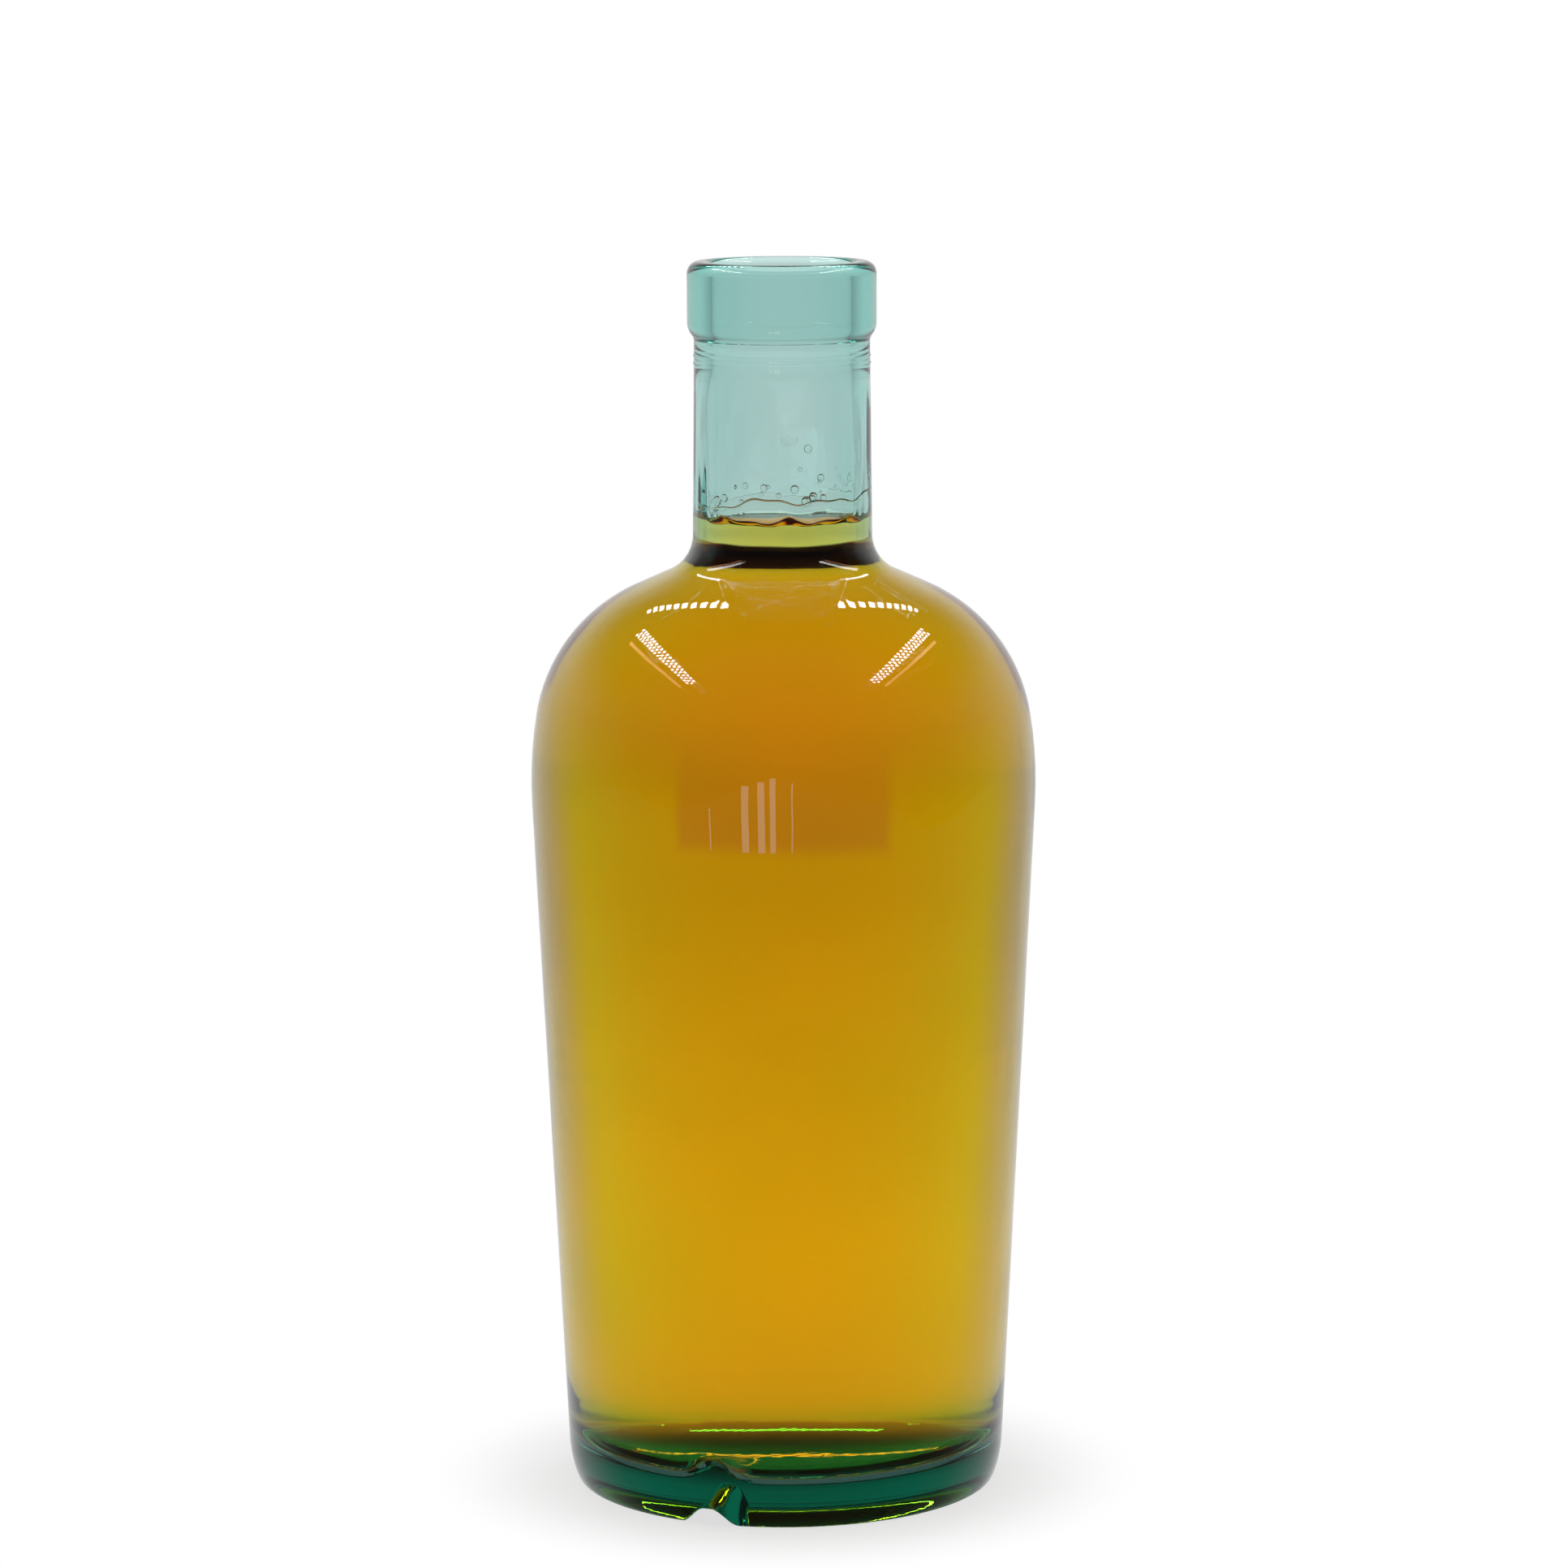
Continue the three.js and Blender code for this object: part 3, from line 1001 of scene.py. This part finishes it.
def painted_light_card(setting):
    """Pale card that glows with painted lamp light: it is clear in its window and beyond its soft edges."""
    material, tree = new_material("Pale card, glowing with painted lamp light")
    place = add_node(tree, "ShaderNodeNewGeometry")
    parts = add_node(tree, "ShaderNodeSeparateXYZ", {0: place.outputs["Position"]})
    across = add_node(tree, "ShaderNodeMath", {0: parts.outputs[0]}, operation="ABSOLUTE")
    front = add_node(tree, "ShaderNodeMath", {0: parts.outputs[1]}, {1: -1}, operation="MULTIPLY")
    turn = add_node(
        tree, "ShaderNodeMath", {0: across.outputs[0], 1: front.outputs[0]}, operation="ARCTAN2"
    )
    path = add_node(tree, "ShaderNodeLightPath")
    side = setting.window_reach
    sill = setting.window_sill
    # What each edge goes by, where it starts and ends, and how bright the card is there
    # The first two edges are the window's, and the card glows beyond either of them
    edges = (
        (turn, 0, side - WINDOW_SIDE_SOFT, side + WINDOW_SIDE_SOFT, 0, 1),
        (parts, 2, sill + WINDOW_SILL_SOFT, sill - WINDOW_SILL_SOFT, 0, 1),
        (path, "Ray Length", setting.card_near, setting.card_near + CARD_NEAR_SOFT, 1, 0),
        (turn, 0, setting.card_reach - CARD_END_SOFT, setting.card_reach, 1, 0),
        (parts, 2, setting.card_top - CARD_TOP_SOFT, setting.card_top, 1, 0),
        (parts, 2, setting.card_foot, setting.card_foot + CARD_FOOT_SOFT, 0, 1),
    )
    fades = []
    for source, socket, start, stop, first, last in edges:
        fade = add_node(
            tree,
            "ShaderNodeMapRange",
            {"Value": source.outputs[socket]},
            {"From Min": start, "From Max": stop, "To Min": first, "To Max": last},
            interpolation_type="SMOOTHSTEP",
        )
        fades.append(fade)
    bright = add_node(
        tree, "ShaderNodeMath", {0: fades[0].outputs[0], 1: fades[1].outputs[0]}, operation="MAXIMUM"
    )
    for fade in fades[2:]:
        bright = add_node(
            tree, "ShaderNodeMath", {0: bright.outputs[0], 1: fade.outputs[0]}, operation="MULTIPLY"
        )
    # Painted light: the card glows by itself in its yellow-green tint, in place of the lamps' light on it,
    # and the glass mirrors this glow
    glow = add_node(
        tree,
        "ShaderNodeEmission",
        sockets={"Color": (*setting.card_tint, 1), "Strength": setting.card_brightness},
    )
    clear = add_node(tree, "ShaderNodeBsdfTransparent")
    mixed = add_node(
        tree,
        "ShaderNodeMixShader",
        {0: bright.outputs[0], 1: clear.outputs[0], 2: glow.outputs[0]},
    )
    add_node(tree, "ShaderNodeOutputMaterial", {"Surface": mixed.outputs[0]})
    return material


def make_card(setting):
    """A curved card round the bottle's front, with a window. Only mirrored light shows it."""
    end = setting.card_reach + CARD_MARGIN
    points = []
    faces = []
    for i in range(CARD_PANELS + 1):
        turn = end * (2 * i / CARD_PANELS - 1)
        x = setting.card_radius * sin(turn)
        y = -setting.card_radius * cos(turn)
        points += [(x, y, setting.card_foot), (x, y, setting.card_top)]
        if i:
            faces.append((2 * i - 2, 2 * i, 2 * i + 1, 2 * i - 1))
    stage_piece("front_card", points, faces, painted_light_card(setting), MIRRORED_ONLY)


def make_bars(setting):
    """Upright bright bars in the dark window of the card. Only mirrored light shows them."""
    radius = setting.card_radius - BARS_INSIDE_CARD
    points = []
    for start, end, top in ROOM_BARS:
        for turn, height in ((start, 0), (end, 0), (end, top), (start, top)):
            x = radius * sin(radians(turn))
            y = -radius * cos(radians(turn))
            points.append((x, y, max(height * MM, setting.window_sill)))
    material = glowing("Bright bars in the room", "#FFFFFF", setting.bar_brightness)
    stage_piece("room_bars", points, four_by_four(points), material, MIRRORED_ONLY)


def make_world(scene, setting):
    """White to the camera, and for the light the inside of a white box.

    The box is bright behind, dimmer at the sides, dark above and open towards a dark room in front.
    """
    world = bpy.data.worlds.new("White box, open in front")
    world.use_nodes = True
    tree = world.node_tree
    tree.nodes.clear()
    place = add_node(tree, "ShaderNodeTexCoord")
    parts = add_node(tree, "ShaderNodeSeparateXYZ", {0: place.outputs["Generated"]})
    back = add_node(
        tree,
        "ShaderNodeMapRange",
        {"Value": parts.outputs["Y"]},
        {
            "From Min": 0.1,
            "From Max": 0.85,
            "To Min": setting.side_brightness,
            "To Max": setting.back_brightness,
        },
    )
    above = add_node(
        tree,
        "ShaderNodeMapRange",
        {"Value": parts.outputs["Z"]},
        {"From Min": 0.2, "From Max": 0.6, "To Min": 1.0, "To Max": setting.top_share},
        interpolation_type="SMOOTHSTEP",
    )
    walls = add_node(
        tree,
        "ShaderNodeMath",
        {0: back.outputs["Result"], 1: above.outputs["Result"]},
        operation="MULTIPLY",
    )
    behind = add_node(
        tree, "ShaderNodeBackground", {"Strength": walls.outputs[0]}, {"Color": (1, 1, 1, 1)}
    )
    path = add_node(tree, "ShaderNodeLightPath")
    mirrored = add_node(
        tree,
        "ShaderNodeMath",
        {0: path.outputs["Is Glossy Ray"]},
        {1: setting.front_brightness},
        operation="MULTIPLY",
    )
    front = add_node(
        tree, "ShaderNodeBackground", {"Strength": mirrored.outputs[0]}, {"Color": (1, 1, 1, 1)}
    )
    opening = add_node(
        tree, "ShaderNodeMapRange", {"Value": parts.outputs["Y"]}, {"From Min": -0.25, "From Max": 0.1}
    )
    box = add_node(
        tree, "ShaderNodeMixShader", {0: opening.outputs[0], 1: front.outputs[0], 2: behind.outputs[0]}
    )
    white = add_node(tree, "ShaderNodeBackground", sockets={"Color": (1, 1, 1, 1), "Strength": 1.0})
    seen = add_node(
        tree,
        "ShaderNodeMixShader",
        {0: path.outputs["Is Camera Ray"], 1: box.outputs[0], 2: white.outputs[0]},
    )
    add_node(tree, "ShaderNodeOutputWorld", {"Surface": seen.outputs[0]})
    scene.world = world


def make_camera(scene, setting):
    """The camera of the photograph."""
    data = bpy.data.cameras.new("photo_camera")
    data.sensor_fit = "HORIZONTAL"
    data.sensor_width = SENSOR_WIDTH
    data.lens = setting.lens_pixels / PHOTO_WIDTH * SENSOR_WIDTH
    data.clip_end = 50
    camera = bpy.data.objects.new("photo_camera", data)
    camera.location = (0, -setting.camera_distance, setting.camera_height)
    camera.rotation_mode = "ZXY"
    camera.rotation_euler = (pi / 2 - setting.camera_pitch, 0, -setting.camera_roll)
    scene.collection.objects.link(camera)
    scene.camera = camera


# Sidebar and start


class BOTTLE_PT_sidebar(Panel):
    """Sizes, finishes and steps of the bottle"""

    bl_label = "Glass spirit bottle"
    bl_idname = "BOTTLE_PT_sidebar"
    bl_space_type = "VIEW_3D"
    bl_region_type = "UI"
    bl_category = "Bottle"

    def draw(self, context):
        for step in OPERATORS:
            self.layout.operator(step.bl_idname)
        for group in GROUPS:
            settings = getattr(context.scene, group)
            column = self.layout.column()
            for name in settings.bl_rna.properties.keys():
                if name not in ("rna_type", "name"):
                    column.prop(settings, name)


GROUPS = {
    "bottle_shape": BottleShape,
    "spirit_shape": SpiritShape,
    "bottle_finish": BottleFinish,
    "stage_setting": StageSetting,
}
OPERATORS = (BOTTLE_OT_glass, BOTTLE_OT_spirit, BOTTLE_OT_drops, BOTTLE_OT_stage)
CLASSES = (*GROUPS.values(), *OPERATORS, BOTTLE_PT_sidebar)


def register():
    for kind in CLASSES:
        bpy.utils.register_class(kind)
    for name, group in GROUPS.items():
        setattr(bpy.types.Scene, name, PointerProperty(type=group))


def unregister():
    for name in GROUPS:
        delattr(bpy.types.Scene, name)
    for kind in reversed(CLASSES):
        bpy.utils.unregister_class(kind)


def main():
    register()
    bpy.ops.bottle.turn_glass()
    bpy.ops.bottle.fill_spirit()
    bpy.ops.bottle.leave_drops()
    bpy.ops.bottle.set_stage()
    bpy.context.view_layer.update()


if __name__ == "__main__":
    main()
